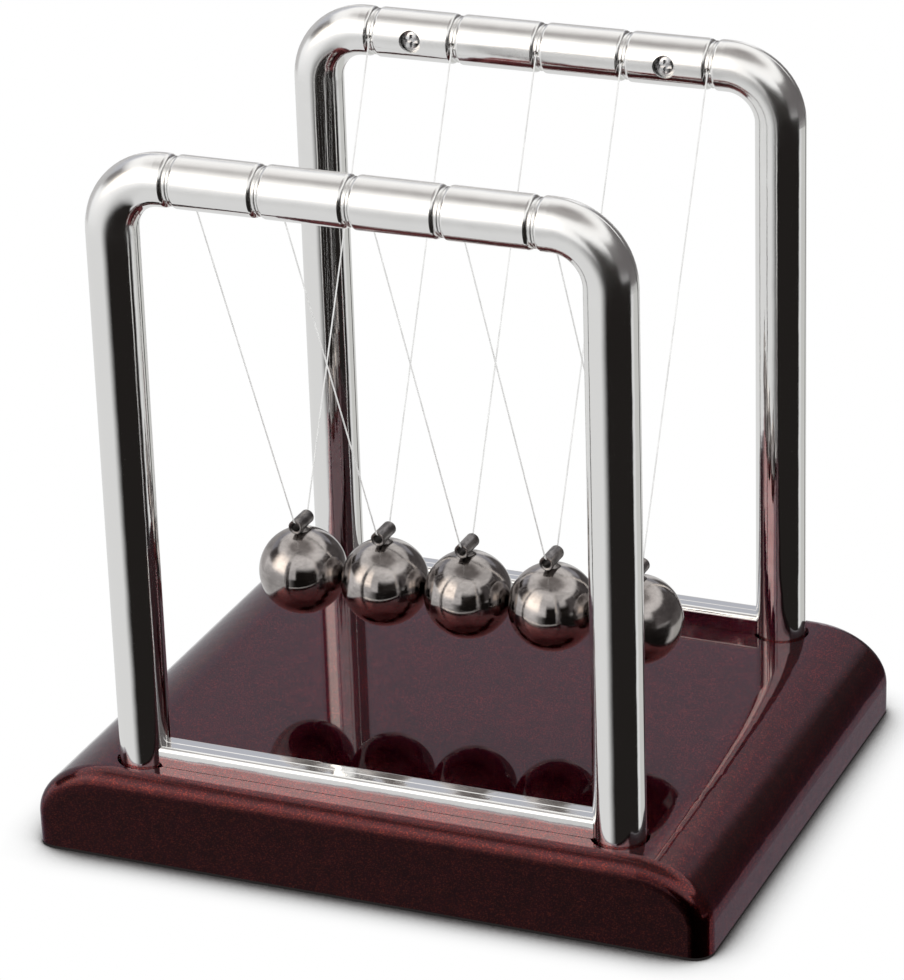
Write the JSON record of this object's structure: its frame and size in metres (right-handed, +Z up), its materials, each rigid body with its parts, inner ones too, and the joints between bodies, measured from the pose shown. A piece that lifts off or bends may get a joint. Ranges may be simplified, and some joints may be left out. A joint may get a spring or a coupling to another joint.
{
  "type": "newtons cradle",
  "caption": "Desk toy: a row of steel balls on V-shaped lines between two arched chrome tube frames on a dark red base; end balls swing and knock the row.",
  "frame": {"origin": "on the table under the middle ball, at the centre of the base", "axes": "+X along the row of balls, +Y towards the rear frame, +Z up"},
  "size_m": [0.1414, 0.1144, 0.1451],
  "materials": {
    "frame_chrome": "polished",
    "ball_steel": "polished",
    "hanger_steel": "dull",
    "base_lacquer": "high gloss metallic",
    "plate_plastic": "matte",
    "pad_rubber": "matte",
    "screw_steel": "bright zinc",
    "line_nylon": "satin nylon",
    "bead_brass": "satin"
  },
  "bodies": {
    "frame": {"base_shell": "base_lacquer", "base_bottom_plate": "plate_plastic", "base_plate_screws": "screw_steel", "foot_pad_front_left": "pad_rubber", "foot_pad_front_right": "pad_rubber", "foot_pad_rear_left": "pad_rubber", "foot_pad_rear_right": "pad_rubber", "leg_screws": "screw_steel", "front_frame_outer_shell": "frame_chrome", "front_frame_inner_shell": "frame_chrome", "front_frame_screws": "screw_steel", "rear_frame_outer_shell": "frame_chrome", "rear_frame_inner_shell": "frame_chrome", "rear_frame_screws": "screw_steel"},
    "pendulum_1": {"ball_1": "ball_steel", "ball_hanger_1": "hanger_steel", "line_1": "line_nylon", "line_beads_1": "bead_brass"},
    "pendulum_2": {"ball_2": "ball_steel", "ball_hanger_2": "hanger_steel", "line_2": "line_nylon", "line_beads_2": "bead_brass"},
    "pendulum_3": {"ball_3": "ball_steel", "ball_hanger_3": "hanger_steel", "line_3": "line_nylon", "line_beads_3": "bead_brass"},
    "pendulum_4": {"ball_4": "ball_steel", "ball_hanger_4": "hanger_steel", "line_4": "line_nylon", "line_beads_4": "bead_brass"},
    "pendulum_5": {"ball_5": "ball_steel", "ball_hanger_5": "hanger_steel", "line_5": "line_nylon", "line_beads_5": "bead_brass"}
  },
  "joints": [
    {"name": "ball_1_swing", "type": "hinge", "parent": "frame", "child": "pendulum_1", "pos_m": [-0.0362, 0, 0.14], "axis": [0, -1, 0], "range_deg": [-45, 0]},
    {"name": "ball_2_swing", "type": "hinge", "parent": "frame", "child": "pendulum_2", "pos_m": [-0.0181, 0, 0.14], "axis": [0, -1, 0], "range_deg": [0, 45]},
    {"name": "ball_3_swing", "type": "hinge", "parent": "frame", "child": "pendulum_3", "pos_m": [0, 0, 0.14], "axis": [0, -1, 0], "range_deg": [0, 45]},
    {"name": "ball_4_swing", "type": "hinge", "parent": "frame", "child": "pendulum_4", "pos_m": [0.0181, 0, 0.14], "axis": [0, -1, 0], "range_deg": [0, 45]},
    {"name": "ball_5_swing", "type": "hinge", "parent": "frame", "child": "pendulum_5", "pos_m": [0.0362, 0, 0.14], "axis": [0, -1, 0], "range_deg": [0, 45]}
  ],
  "couplings": [
    {"joint": "ball_4_swing", "follows": "ball_5_swing", "ratio": 1},
    {"joint": "ball_3_swing", "follows": "ball_5_swing", "ratio": 1},
    {"joint": "ball_2_swing", "follows": "ball_5_swing", "ratio": 1}
  ]
}
